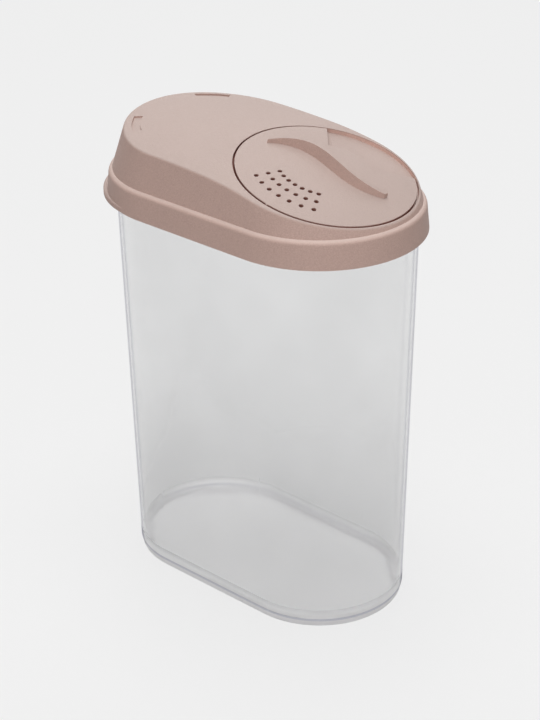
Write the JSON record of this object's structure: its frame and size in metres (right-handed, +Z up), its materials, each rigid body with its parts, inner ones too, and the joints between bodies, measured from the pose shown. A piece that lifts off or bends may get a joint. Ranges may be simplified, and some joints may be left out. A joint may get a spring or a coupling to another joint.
{
  "type": "laundry powder dispenser",
  "caption": "Tall clear round-ended container under a lift-off domed lid, with a turning dial that opens either a pour mouth or a sprinkler.",
  "frame": {"origin": "centre of the overall footprint, on the face that the container stands on", "axes": "+X towards the pouring end, +Y to the left of it across the container's width, +Z up"},
  "size_m": [0.1766, 0.1042, 0.2396],
  "materials": {
    "clear_plastic": "clear moulded plastic, smooth inside and out",
    "pink_plastic": "dusty pink moulded plastic with a fine matte grain"
  },
  "bodies": {
    "container": {"container": "clear_plastic"},
    "lid": {"lid": "pink_plastic"},
    "dial": {"dial": "pink_plastic"}
  },
  "joints": [
    {"name": "lid_lift", "type": "slide", "parent": "container", "child": "lid", "axis": [0, 0, 1], "range_m": [0, 0.05]},
    {"name": "dial_turn", "type": "hinge", "parent": "lid", "child": "dial", "pos_m": [0.04045, 0, 0.2266], "axis": [0.2351, 0, 0.972], "range_deg": [-92.2, 87.8]}
  ]
}
